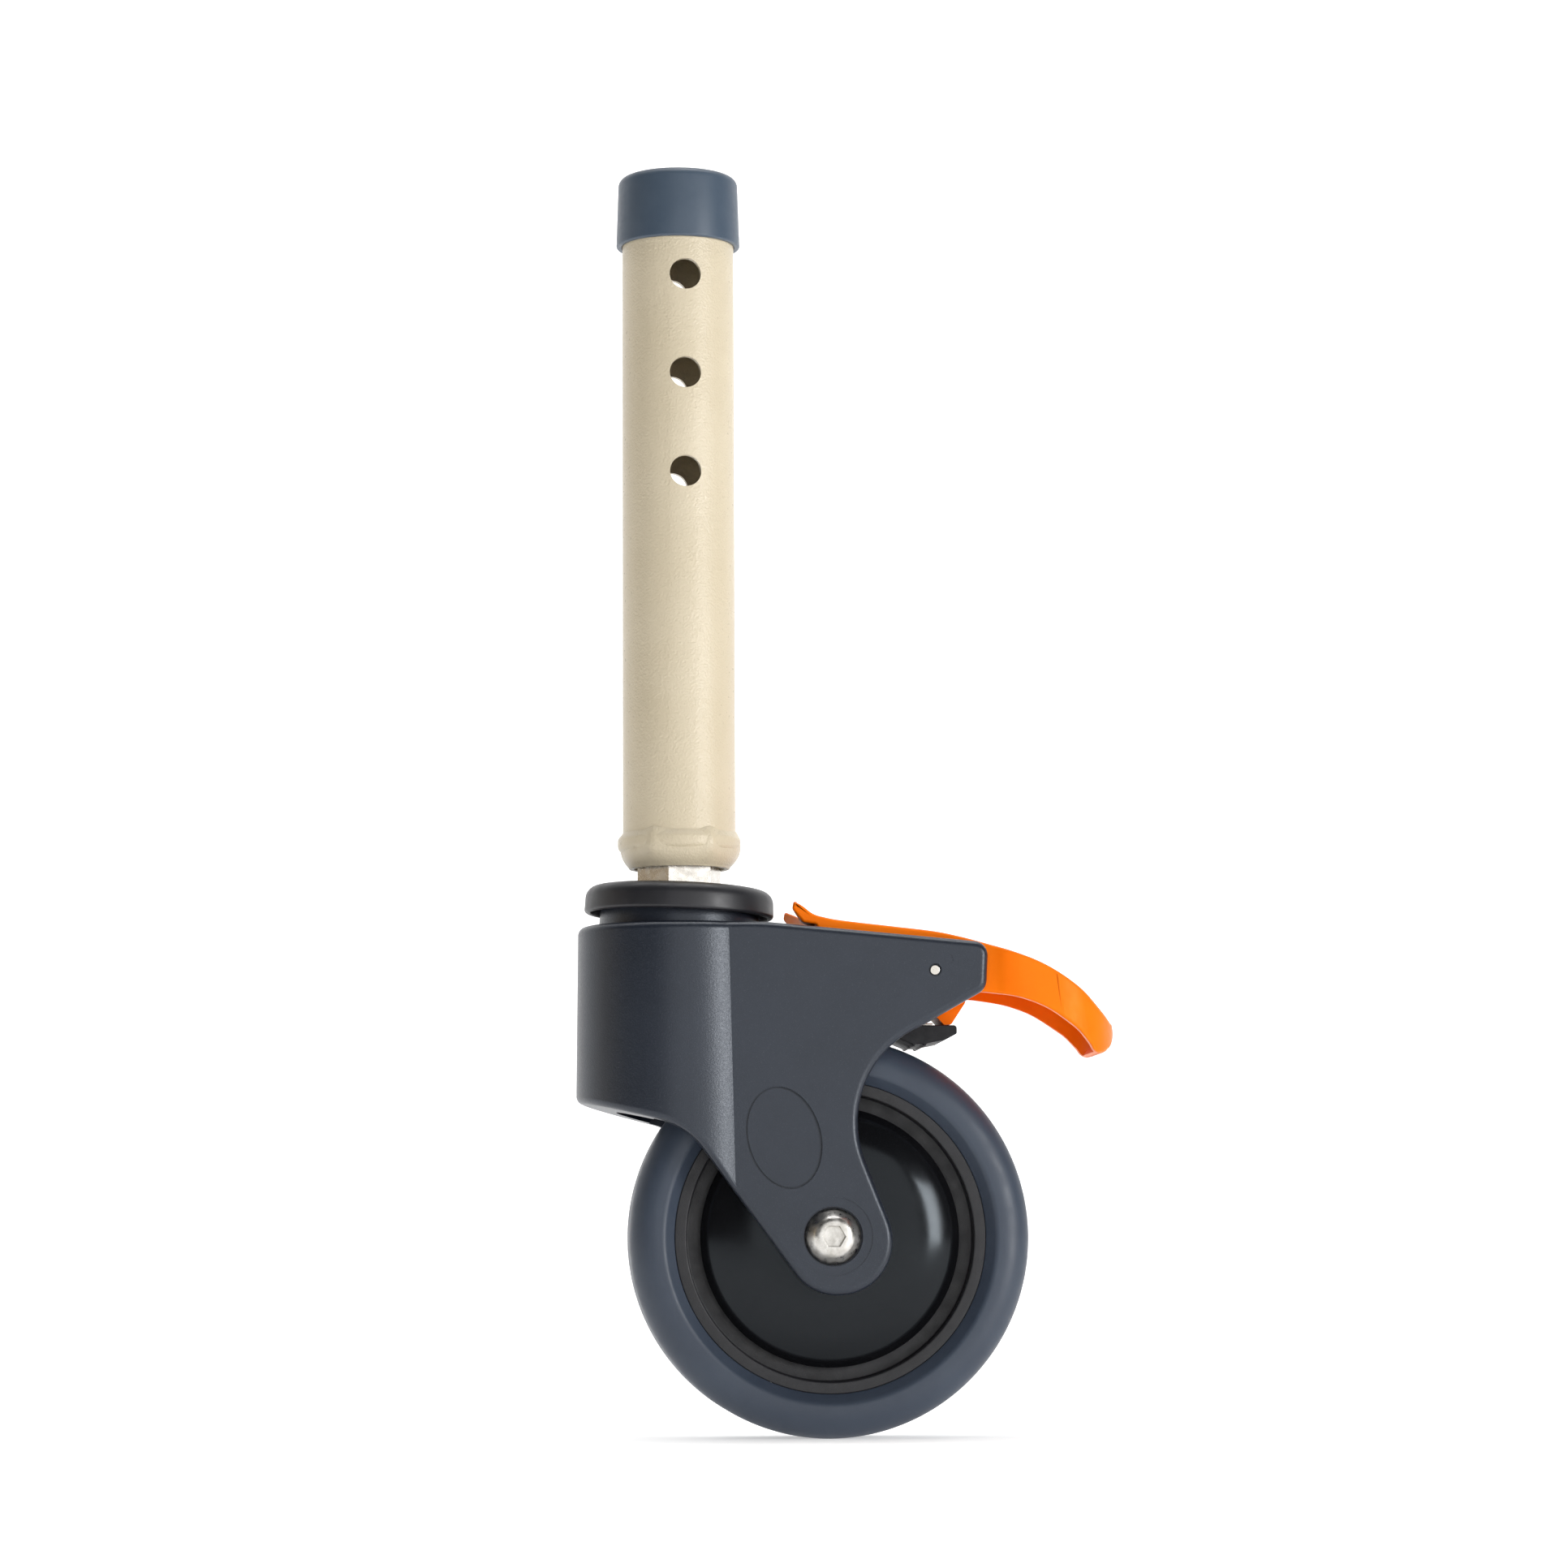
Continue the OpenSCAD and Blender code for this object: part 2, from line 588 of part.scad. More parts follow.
// The points p with those beyond the pin spread to the pedal's reach, moved to the pin
function placed(p) = [for (q = p) [pedal_pin_x + q[0] * (q[0] > 0 ? pedal_scale : 1), pedal_pin_z + q[1]]];
pedal_top = [[-33.2, 16.2], [-28.5, 14.2], [-26.4, 13.4], [-22.4, 12.7], [-10.2, 11.3], [0, 10.1], [6.1, 8.9],
    [12.1, 7.35], [20.2, 4.9], [28.4, 1.65], [36.8, -3.7], [42.5, -9.1], [46.4, -13]];
pedal_tip = rounded([[46.4, -13, 0], [47.2, -14, 1], [43.6, -20, 1.2], [40.6, -19.6, 0.8],
    [40, -18.4, 0]], 5);
pedal_skirt = [[40, -18.4], [38.8, -16.9], [36.8, -14.7], [34.3, -12.8], [31.3, -10.7], [28.2, -8.9],
    [24.2, -7.3], [20.1, -6.2], [14, -5.35], [12.2, -5.2]];
pedal_low = rounded([[12.2, -5.2, 0], [-6, -5, 3], [-7.5, 8.2, 1], [-28.8, 8.4, 1], [-29.3, 11.8, 0.6],
    [-32.4, 12.2, 1], [-34.6, 15.4, 0.9], [-33.2, 16.2, 0]], 4);

// Plan view of the pedal, grown by g on all sides
module pedal_plan(g) {
    in_y = pedal_w / 2 + g;
    out_y = paddle_w / 2 + g;
    tip_r = 14 + g;
    polygon(rounded([[arm_x / 4, -in_y, 0], [arm_x + 1.4, -in_y, 4], [arm_x + 6.4, -out_y, 4],
        [pedal_reach + g, -out_y + 3, tip_r], [pedal_reach + g, out_y - 3, tip_r], [arm_x + 6.4, out_y, 4],
        [arm_x + 1.4, in_y, 4], [arm_x / 4, in_y, 0]], 8));
}

module brake_pedal() {
    t = pedal_wall;
    cam_w = lever_w - 1;
    hub_r = 5;
    top = through(pedal_top);
    inner_top = beside(through([for (i = [2 : len(pedal_top) - 1]) pedal_top[i]]), t);
    color("darkorange") from_axle() difference() {
        union() {
            // Shell: the outer form less the same form moved inwards, open below
            difference() {
                intersection() {
                    upright(80) polygon(placed(concat(top, pedal_tip, through(pedal_skirt), pedal_low)));
                    linear_extrude(150) pedal_plan(0);
                }
                intersection() {
                    upright(80) polygon(placed(concat(inner_top, [[41, -20], [39, -40], [-26.4, -40]])));
                    linear_extrude(150) pedal_plan(-pedal_wall);
                }
            }
            cross_pin(pedal_pin_x, pedal_pin_z, hub_r, pedal_w);
            // Cam that pushes the brake lever down
            upright(cam_w) polygon(rounded([[pedal_pin_x - 4, pedal_pin_z, 0],
                [pedal_pin_x - 3, pedal_pin_z - 6, 2], [pedal_pin_x + 3.6, pedal_pin_z - cam_drop - 0.4, 0.4],
                [pedal_pin_x + 5.4, pedal_pin_z - cam_drop - 0.3, 0.6],
                [pedal_pin_x + 9.2, pedal_pin_z - 7, 3], [pedal_pin_x + 9.2, pedal_pin_z, 0]]));
            // Web from the hub up to the deck
            translate([pedal_pin_x, -cam_w / 2, pedal_pin_z]) cube([4, cam_w, 8.6]);
        }
        cross_pin(pedal_pin_x, pedal_pin_z, pin_r + pin_gap, 60);
    }
}

// Bent strip that carries the shoe, with an eye round its pin
module brake_lever() {
    top = pedal_pin_z - cam_drop;
    end = pedal_pin_x + 0.8;
    color("silver") from_axle() difference() {
        union() {
            cross_pin(lever_pin_x, lever_pin_z, pin_r + 2, lever_w);
            upright(lever_w) polygon(rounded([[lever_pin_x - 1, lever_pin_z, 0],
                [lever_pin_x + 1.5, lever_pin_z, 0], [lever_pin_x + 6.5, top, 2],
                [end, top, 0.2], [end, top - lever_t, 0],
                [lever_pin_x + 5.5, top - lever_t, 3], [lever_pin_x - 1, lever_pin_z - 2, 0]]));
        }
        cross_pin(lever_pin_x, lever_pin_z, pin_r + pin_gap, 60);
    }
}

// Moulded shoe under the strip, with ridges across its face
module brake_shoe() {
    top = pedal_pin_z - cam_drop;
    end = pedal_pin_x + 0.8;
    low = wheel_r - 2.5;
    color("black") from_axle() difference() {
        upright(shoe_w) polygon(rounded([[end - 9.2, low + 1.9, 0.3], [end - 9.2, top - 0.8, 0.5],
            [end + 5.4, top - 0.8, 0.8], [end + 5.4, low + 3.1, 0.5], [end + 2.4, low + 1.5, 0.5],
            [end - 2.2, low + 0.6, 0], [end - 2.4, low, 0], [end - 3, low, 0], [end - 3.2, low + 0.5, 0],
            [end - 4.9, low + 0.5, 0], [end - 5.1, low, 0], [end - 5.7, low, 0], [end - 5.9, low + 0.5, 0]]));
        translate([0, -lever_w / 2, top - lever_t]) cube([end, lever_w, 10]);
    }
}

stem_tube();
tube_cap();
foot_plug();
swivel_stem();
dust_cover();
upper_inner_race();
lower_inner_race();
race_spacer();
stem_washer();
stem_nut();
fork();
upper_outer_race();
lower_outer_race();
swivel_balls();
axle_bolt();
axle_washer();
axle_nut();
axle_sleeve();
wheel_inner_races();
pedal_pin();
lever_pin();
tyre();
wheel_rim();
near_hub_cover();
far_hub_cover();
wheel_outer_races();
wheel_balls();
brake_pedal();
brake_lever();
brake_shoe();
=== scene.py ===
import json
import math

import bmesh
import bpy
import numpy as np
from mathutils import Matrix, Vector

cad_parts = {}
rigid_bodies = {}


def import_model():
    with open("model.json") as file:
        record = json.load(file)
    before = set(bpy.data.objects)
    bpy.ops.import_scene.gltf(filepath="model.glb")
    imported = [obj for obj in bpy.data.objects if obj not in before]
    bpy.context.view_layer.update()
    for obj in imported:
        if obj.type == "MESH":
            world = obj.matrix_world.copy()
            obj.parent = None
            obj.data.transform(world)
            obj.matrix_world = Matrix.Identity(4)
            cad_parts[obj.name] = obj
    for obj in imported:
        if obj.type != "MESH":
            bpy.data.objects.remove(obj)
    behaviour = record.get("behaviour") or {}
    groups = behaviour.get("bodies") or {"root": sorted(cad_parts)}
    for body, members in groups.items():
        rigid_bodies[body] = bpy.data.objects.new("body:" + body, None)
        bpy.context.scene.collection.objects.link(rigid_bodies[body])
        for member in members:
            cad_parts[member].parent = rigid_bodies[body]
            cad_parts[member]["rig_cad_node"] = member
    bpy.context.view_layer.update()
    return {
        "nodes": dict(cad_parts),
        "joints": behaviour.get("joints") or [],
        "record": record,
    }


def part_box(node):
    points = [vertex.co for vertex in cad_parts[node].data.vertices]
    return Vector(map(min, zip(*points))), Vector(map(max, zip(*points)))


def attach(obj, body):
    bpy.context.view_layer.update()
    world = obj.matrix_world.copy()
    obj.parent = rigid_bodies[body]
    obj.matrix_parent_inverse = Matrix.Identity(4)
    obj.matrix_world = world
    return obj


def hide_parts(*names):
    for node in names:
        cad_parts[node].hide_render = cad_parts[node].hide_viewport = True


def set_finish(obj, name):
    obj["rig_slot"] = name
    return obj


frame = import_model()
mm = 0.001
reach = 40.0        # how far the carving tools reach to either side, in mm
axisR = 0.02        # smallest radius of a lathed outline, in mm, so that no point lies on the axis
meshGap = 2e-6      # points closer than this become one, in metres
carvedGap = 3e-6    # the same for carved meshes
tinyEdge = 1e-7     # edges shorter than this collapse
samePoint = 1e-4    # outline points closer than this are one point, in mm
# How meshes are flattened and rounded: angles in degrees, numbers of parts and one weight
edgeWork = dict(bevelSegments=3, bevelDeg=40, cadFlatDeg=0.2, carvedFlatDeg=0.05, roundSegments=4,
                plateArc=7, normalWeight=80)

# Places that the frame gives: the axle and the floor under the tyre
joints = {j["name"]: j for j in frame["joints"]}
slotOf = {s["node"]: s["material_slot"] for s in frame["record"]["subparts"]}
bodyOf = {n: b for b, ns in frame["record"]["behaviour"]["bodies"].items() for n in ns}
axleX, _, axleZ = joints["wheel_spin"]["pos_m"]
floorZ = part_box("tyre")[0].z
print("frame loaded: axle at", round(axleX, 4), round(axleZ, 4), "floor at", round(floorZ, 4))


# Meshes
def meshPiece(name, points, faces, body, slot, replaces, smoothDeg=35):
    # points is an (n, 3) array in metres, faces a list of index tuples
    mesh = bpy.data.meshes.new(name)
    mesh.from_pydata(points.tolist(), [], [tuple(f) for f in faces])
    bm = bmesh.new()
    bm.from_mesh(mesh)
    bmesh.ops.remove_doubles(bm, verts=bm.verts, dist=meshGap)
    bmesh.ops.dissolve_degenerate(bm, edges=bm.edges, dist=tinyEdge)
    bmesh.ops.recalc_face_normals(bm, faces=bm.faces)
    bm.to_mesh(mesh)
    bm.free()
    return addPiece(name, mesh, body, slot, replaces, smoothDeg)


def addPiece(name, mesh, body, slot, replaces, smoothDeg):
    # Smooth shading up to the angle, then the piece gets its body, its slot and the nodes it stands for
    mesh.polygons.foreach_set("use_smooth", np.ones(len(mesh.polygons), bool))
    mesh.set_sharp_from_angle(angle=math.radians(smoothDeg))
    piece = bpy.data.objects.new(name, mesh)
    bpy.context.scene.collection.objects.link(piece)
    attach(piece, body)
    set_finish(piece, slot)
    for node in replaces:
        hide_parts(node)
    return piece


def gridFaces(rows, cols, closeRows, closeCols):
    # Quads of a rows x cols grid of points, wrapped round in either direction
    r = np.arange(rows if closeRows else rows - 1)
    c = np.arange(cols if closeCols else cols - 1)
    r, c = np.meshgrid(r, c, indexing="ij")
    nextR, nextC = (r + 1) % rows, (c + 1) % cols
    quads = [r * cols + c, nextR * cols + c, nextR * cols + nextC, r * cols + nextC]
    return np.stack(quads, -1).reshape(-1, 4)


def rounded(corners, steps=8):
    # A closed outline from corners [x, y, radius]: each corner becomes the arc tangent to its two sides
    c = np.array(corners, float)
    out = []
    for p, q, s in zip(np.roll(c, 1, 0), c, np.roll(c, -1, 0)):
        if q[2] == 0:
            out.append(q[None, :2])
            continue
        a, b = p[:2] - q[:2], s[:2] - q[:2]
        a, b = a / np.linalg.norm(a), b / np.linalg.norm(b)
        half = math.acos(np.clip(a @ b, -1, 1)) / 2
        mid = q[:2] + (a + b) / np.linalg.norm(a + b) * q[2] / math.sin(half)
        f, t = q[:2] + a * q[2] / math.tan(half) - mid, q[:2] + b * q[2] / math.tan(half) - mid
        start = math.atan2(f[1], f[0])
        turn = (math.atan2(t[1], t[0]) - start + 3 * math.pi) % (2 * math.pi) - math.pi
        ang = start + turn * np.linspace(0, 1, steps + 1)
        out.append(mid + q[2] * np.stack([np.cos(ang), np.sin(ang)], -1))
    return np.concatenate(out)


def mirrored(corners):
    # The corners (place, side, radius) of half an outline, and the same ones on the other side
    return corners + [(x, -y, r) for x, y, r in corners[::-1]]


def revolved(name, profile, axis, body, slot, replaces, segments=180, side=1):
    # profile is a closed outline of (radius, height) in mm, turned round the stem's axis or the axle.
    # Heights on the stem count from the axle, as in the CAD source. Side -1 faces the camera.
    prof = np.asarray(profile) * mm
    ang = np.linspace(0, 2 * math.pi, segments, endpoint=False)
    r, h = prof[None, :, 0] + 0 * ang[:, None], prof[None, :, 1] + 0 * ang[:, None]
    if axis == "stem":
        pts = np.stack([r * np.cos(ang)[:, None], r * np.sin(ang)[:, None], h + axleZ], -1)
    else:
        pts = np.stack([axleX + r * np.cos(ang)[:, None], side * h, axleZ + r * np.sin(ang)[:, None]], -1)
    faces = gridFaces(segments, prof.shape[0], True, True)
    return meshPiece(name, pts.reshape(-1, 3), faces, body, slot, replaces)


def cadCopy(node):
    # A copy of a CAD node's mesh, its loose triangles welded and its flat faces joined
    mesh = frame["nodes"][node].data.copy()
    mesh.name = node + "_shown"
    bm = bmesh.new()
    bm.from_mesh(mesh)
    bmesh.ops.remove_doubles(bm, verts=bm.verts, dist=meshGap)
    bmesh.ops.dissolve_limit(bm, angle_limit=math.radians(edgeWork["cadFlatDeg"]), verts=bm.verts,
                             edges=bm.edges)
    return mesh, bm


def keptCopy(mesh, bm, node, smoothDeg=35, weighted=True):
    # The worked mesh as a piece in place of its CAD node
    bm.to_mesh(mesh)
    bm.free()
    if mesh.has_custom_normals:
        mesh.attributes.remove(mesh.attributes["custom_normal"])
    piece = addPiece(mesh.name, mesh, bodyOf[node], slotOf[node], [node], smoothDeg)
    if weighted:
        # Large flat faces keep their own direction, so only the rounded edges shade
        mod = piece.modifiers.new("normals", "WEIGHTED_NORMAL")
        mod.keep_sharp = True
        mod.weight = edgeWork["normalWeight"]
    return piece


def through(points, steps=6):
    # A smooth line through the points: on each stretch a cubic, whose slope at each point is half the step
    # between the two neighbours
    p = np.array(points, float)
    out = []
    for i in range(len(p) - 1):
        a, b, c, d = p[max(i - 1, 0)], p[i], p[i + 1], p[min(i + 2, len(p) - 1)]
        t = np.linspace(0, 1, steps, endpoint=False)[:, None]
        out.append(b + (c - a) * t / 2 + (2 * a - 5 * b + 4 * c - d) * t ** 2 / 2
                   + (3 * b - a - 3 * c + d) * t ** 3 / 2)
    return np.concatenate(out + [p[-1:]])


def beside(line, g):
    # The open line moved by g to its right-hand side
    v = np.gradient(np.asarray(line), axis=0)
    v /= np.linalg.norm(v, axis=1)[:, None]
    return line + g * np.stack([v[:, 1], -v[:, 0]], -1)


def inset(outline, g):
    # The clockwise outline moved inwards by g, each point along the bisector of its two sides
    a = outline - np.roll(outline, 1, 0)
    b = np.roll(outline, -1, 0) - outline
    a, b = a / np.linalg.norm(a, axis=1)[:, None], b / np.linalg.norm(b, axis=1)[:, None]
    v = (a + b) / np.linalg.norm(a + b, axis=1)[:, None]
    return outline + g / (v * b).sum(1)[:, None] * np.stack([v[:, 1], -v[:, 0]], -1)


def tool(rings, closed=True):
    # A closed solid for carving, from rings of points in mm whose heights count from the axle
    rings = [np.asarray(r, float) for r in rings]
    n = len(rings[0])
    pts = np.concatenate(rings) * mm + (0, 0, axleZ)
    faces = gridFaces(len(rings), n, not closed, True).tolist()
    if closed:
        faces += [list(range(n)), list(range((len(rings) - 1) * n, len(rings) * n))]
    mesh = bpy.data.meshes.new("tool")
    mesh.from_pydata(pts.tolist(), [], faces)
    bm = bmesh.new()
    bm.from_mesh(mesh)
    bmesh.ops.recalc_face_normals(bm, faces=bm.faces)
    bm.to_mesh(mesh)
    bm.free()
    return mesh


def upright(outline, y0, y1):
    # A prism along Y over an outline of (x, height)
    o = np.asarray(outline)
    return tool([np.stack([o[:, 0], np.full(len(o), y), o[:, 1]], -1) for y in (y0, y1)])


def ringTool(outer, inner, y0, y1):
    # The solid between two outlines of as many points
    rings = [(outer, y0), (outer, y1), (inner, y1), (inner, y0)]
    return tool([np.stack([o[:, 0], np.full(len(o), y), o[:, 1]], -1) for o, y in rings], closed=False)


def flatwise(outline, z0, z1):
    # A prism along Z over an outline of (x, y)
    o = np.asarray(outline)
    return tool([np.stack([o[:, 0], o[:, 1], np.full(len(o), z)], -1) for z in (z0, z1)])


def circle(x, y, r, n=96, ry=None, tilt=0.0):
    # A circle of n points, or an ellipse of the half axes r and ry turned by tilt
    t = np.linspace(0, 2 * math.pi, n, endpoint=False)
    u, v, c, d = r * np.cos(t), (ry or r) * np.sin(t), math.cos(tilt), math.sin(tilt)
    return np.stack([x + u * c - v * d, y + u * d + v * c], -1)


def softPlate(outline, half, r):
    # A plate whose edges are quarter circles: inset r(1 - sin), depth r(1 - cos), over a quarter turn
    q = np.radians(np.linspace(0, 90, edgeWork["plateArc"]))
    near = [(r * (1 - math.cos(a)) - half, r * (1 - math.sin(a))) for a in q]
    rings = near + [(-y, g) for y, g in near[::-1]]
    made = [(inset(outline, g), y) for y, g in rings]
    return tool([np.stack([o[:, 0], np.full(len(o), y), o[:, 1]], -1) for o, y in made])


def carve(mesh, steps):
    # The mesh after a list of (operation, tool) steps
    base = bpy.data.objects.new("carved", mesh)
    bpy.context.scene.collection.objects.link(base)
    used = [base]
    for operation, cutter in steps:
        other = bpy.data.objects.new("cutter", cutter)
        bpy.context.scene.collection.objects.link(other)
        mod = base.modifiers.new("step", "BOOLEAN")
        mod.operation, mod.object, mod.solver = operation, other, "EXACT"
        used.append(other)
    graph = bpy.context.evaluated_depsgraph_get()
    made = bpy.data.meshes.new_from_object(base.evaluated_get(graph))
    for other in used:
        bpy.data.objects.remove(other)
    return made


def roundEdges(mesh, width, pick):
    # Rounds the picked edges to the width in mm
    bm = bmesh.new()
    bm.from_mesh(mesh)
    bmesh.ops.remove_doubles(bm, verts=bm.verts, dist=carvedGap)
    bmesh.ops.dissolve_limit(bm, angle_limit=math.radians(edgeWork["carvedFlatDeg"]), verts=bm.verts,
                             edges=bm.edges)
    picked = [e for e in bm.edges if len(e.link_faces) == 2 and pick(e)]
    bmesh.ops.bevel(bm, geom=picked, offset=width * mm, offset_type="OFFSET",
                    segments=edgeWork["roundSegments"], profile=0.5, affect="EDGES", clamp_overlap=False)
    bm.to_mesh(mesh)
    bm.free()
    return mesh


def carvedPiece(node, mesh, smoothDeg):
    # A carved mesh, cleaned, as a piece in place of its CAD node
    bm = bmesh.new()
    bm.from_mesh(mesh)
    bmesh.ops.remove_doubles(bm, verts=bm.verts, dist=carvedGap)
    # Slivers that the carving dropped are closed again
    bmesh.ops.delete(bm, geom=[e for e in bm.edges if not e.link_faces], context="EDGES")
    bmesh.ops.holes_fill(bm, edges=[e for e in bm.edges if e.is_boundary], sides=0)
    bmesh.ops.recalc_face_normals(bm, faces=bm.faces)
    mesh.name = node + "_shown"
    print(node, "carved:", len(bm.faces), "faces")
    keptCopy(mesh, bm, node, smoothDeg)


def dressed(node, bevel):
    # A copy of a CAD node with its sharp edges rounded by a modifier to the width in mm
    mesh, bm = cadCopy(node)
    piece = keptCopy(mesh, bm, node, weighted=False)
    mod = piece.modifiers.new("edges", "BEVEL")
    mod.width = bevel * mm
    mod.segments = edgeWork["bevelSegments"]
    mod.limit_method = "ANGLE"
    mod.angle_limit = math.radians(edgeWork["bevelDeg"])
    mod.use_clamp_overlap = True
    mod.harden_normals = True


# Finishes. The bands are the parts of a noise's range that are spread over the whole effect.
noiseRoughness = 0.55
bands = dict(mottle=(0.35, 0.65), rough=(0.3, 0.7), fleckTo=0.8)


def finish(name, look):
    # Two colours mottled by one noise, roughness varied by a second, and a fine grain as bump
    mat = bpy.data.materials.new(name)
    mat.use_nodes = True
    nodes, links = mat.node_tree.nodes, mat.node_tree.links
    shader = nodes["Principled BSDF"]
    coords = nodes.new("ShaderNodeTexCoord").outputs["Object"]

    def setRange(node, side, low, high):
        node.inputs[side + " Min"].default_value = low
        node.inputs[side + " Max"].default_value = high

    def noise(scale, detail):
        n = nodes.new("ShaderNodeTexNoise")
        n.inputs["Scale"].default_value = scale
        n.inputs["Detail"].default_value = detail
        n.inputs["Roughness"].default_value = noiseRoughness
        links.new(coords, n.inputs["Vector"])
        return n.outputs["Fac"]

    mix = nodes.new("ShaderNodeMix")
    mix.data_type = "RGBA"
    spread = nodes.new("ShaderNodeMapRange")
    setRange(spread, "From", *bands["mottle"])
    links.new(noise(look.get("mottle", 90), detail=5), spread.inputs["Value"])
    links.new(spread.outputs["Result"], mix.inputs["Factor"])
    mix.inputs["A"].default_value = (*look["colour"], 1)
    mix.inputs["B"].default_value = (*look.get("second", [c * 0.9 for c in look["colour"]]), 1)
    colour = mix.outputs["Result"]
    if "fleck" in look:
        # Small specks of another colour, where a fine noise peaks
        fleckMix = nodes.new("ShaderNodeMix")
        fleckMix.data_type = "RGBA"
        peak = nodes.new("ShaderNodeMapRange")
        setRange(peak, "From", look["fleckFrom"], bands["fleckTo"])
        links.new(noise(look["fleckScale"], detail=2), peak.inputs["Value"])
        links.new(peak.outputs["Result"], fleckMix.inputs["Factor"])
        links.new(colour, fleckMix.inputs["A"])
        fleckMix.inputs["B"].default_value = (*look["fleck"], 1)
        colour = fleckMix.outputs["Result"]
    links.new(colour, shader.inputs["Base Color"])
    rough = nodes.new("ShaderNodeMapRange")
    setRange(rough, "From", *bands["rough"])
    setRange(rough, "To", *look["rough"])
    links.new(noise(look.get("roughScale", 300), detail=4), rough.inputs["Value"])
    links.new(rough.outputs["Result"], shader.inputs["Roughness"])
    grain = nodes.new("ShaderNodeBump")
    grain.inputs["Strength"].default_value = look.get("grain", 0.3)
    grain.inputs["Distance"].default_value = look.get("grainDepth", 0.05) * mm
    links.new(noise(look.get("grainScale", 2500), look.get("grainDetail", 3)), grain.inputs["Height"])
    links.new(grain.outputs["Normal"], shader.inputs["Normal"])
    for socket, value in look.get("sockets", {}).items():
        shader.inputs[socket].default_value = value
    return mat


looks = {
    "powder_coat": dict(colour=(0.635, 0.55, 0.395), second=(0.675, 0.59, 0.435), mottle=40,
                        rough=(0.26, 0.38), roughScale=900, grain=0.9, grainDepth=0.2, grainScale=1700,
                        grainDetail=2, sockets={"Specular IOR Level": 0.5}),
    "cap_plastic": dict(colour=(0.056, 0.082, 0.118), second=(0.064, 0.091, 0.128), mottle=150,
                        rough=(0.36, 0.46), roughScale=700, grain=0.25, grainDepth=0.03, grainScale=2600),
    "cover_plastic": dict(colour=(0.011, 0.011, 0.014), second=(0.014, 0.014, 0.018), rough=(0.36, 0.46),
                          grain=0.25, grainDepth=0.04, grainScale=3200),
    "fork_plastic": dict(colour=(0.010, 0.0135, 0.022), second=(0.013, 0.017, 0.027), mottle=60,
                         rough=(0.31, 0.40), roughScale=1800, grain=0.6, grainDepth=0.08, grainScale=2200,
                         fleck=(0.045, 0.050, 0.062), fleckFrom=0.62, fleckScale=3600,
                         sockets={"Specular IOR Level": 0.62, "Specular Tint": (0.88, 0.93, 1.0, 1.0)}),
    "bright_steel": dict(colour=(0.78, 0.75, 0.70), second=(0.62, 0.58, 0.52), mottle=260,
                         rough=(0.18, 0.34), roughScale=500, grain=0.2, grainDepth=0.03, grainScale=1500,
                         sockets={"Metallic": 1.0}),
    "stainless": dict(colour=(0.80, 0.78, 0.74), second=(0.55, 0.53, 0.49), mottle=420, rough=(0.24, 0.44),
                      roughScale=900, grain=0.35, grainDepth=0.05, grainScale=1200,
                      sockets={"Metallic": 1.0}),
    "bearing_steel": dict(colour=(0.6, 0.6, 0.61), rough=(0.12, 0.2), grain=0.1,
                          sockets={"Metallic": 1.0}),
    "tyre_rubber": dict(colour=(0.034, 0.046, 0.070), second=(0.040, 0.054, 0.080), mottle=70,
                        rough=(0.40, 0.52), roughScale=260, grain=0.35, grainDepth=0.05, grainScale=1900),
    "rim_plastic": dict(colour=(0.010, 0.010, 0.012), second=(0.014, 0.014, 0.017), rough=(0.42, 0.58),
                        grain=0.6, grainDepth=0.08, grainScale=2200),
    "gloss_cover": dict(colour=(0.004, 0.0042, 0.005), second=(0.006, 0.006, 0.007), mottle=30,
                        rough=(0.15, 0.21), roughScale=160, grain=0.12, grainDepth=0.35, grainScale=55,
                        grainDetail=1,
                        sockets={"Specular IOR Level": 0.3, "Specular Tint": (0.82, 0.92, 1.0, 1.0)}),
    "pedal_plastic": dict(colour=(0.94, 0.165, 0.001), second=(0.98, 0.20, 0.002), mottle=50,
                          rough=(0.34, 0.46), roughScale=700, grain=0.3, grainDepth=0.04, grainScale=2400,
                          sockets={"Specular IOR Level": 0.35, "Specular Tint": (1.0, 0.6, 0.25, 1.0)}),
    "shoe_plastic": dict(colour=(0.008, 0.008, 0.010), second=(0.014, 0.014, 0.016), mottle=500,
                         rough=(0.4, 0.6), grain=0.4, grainDepth=0.08, grainScale=1500,
                         sockets={"Specular IOR Level": 0.25}),
}
finishes = {slot: finish(slot, look) for slot, look in looks.items()}
print("finishes made:", len(finishes))


# Camera, floor and lights
photo = dict(size=1932, focalPx=5593.38, sensor=36.0, farthest=20, place=(-0.0468, -1.14733, -0.20211),
             forward=(0.0636, 0.9922, 0.1071), up=(-0.00218, -0.10721, 0.99424))


def setCamera():
    cam = bpy.data.cameras.new("camera")
    cam.sensor_width = photo["sensor"]
    cam.lens = photo["focalPx"] * photo["sensor"] / photo["size"]
    cam.clip_end = photo["farthest"]
    view = bpy.data.objects.new("camera", cam)
    bpy.context.scene.collection.objects.link(view)
    forward = Vector(photo["forward"]).normalized()
    right = forward.cross(Vector(photo["up"])).normalized()
    up = right.cross(forward)
    turn = Matrix((right, up, -forward)).transposed().to_4x4()
    view.matrix_world = Matrix.Translation(photo["place"]) @ turn
    bpy.context.scene.camera = view


studio = dict(floorHalf=6.0, flatTo=0.25, bend=1.3, bendPoints=24, wallTop=4.0)
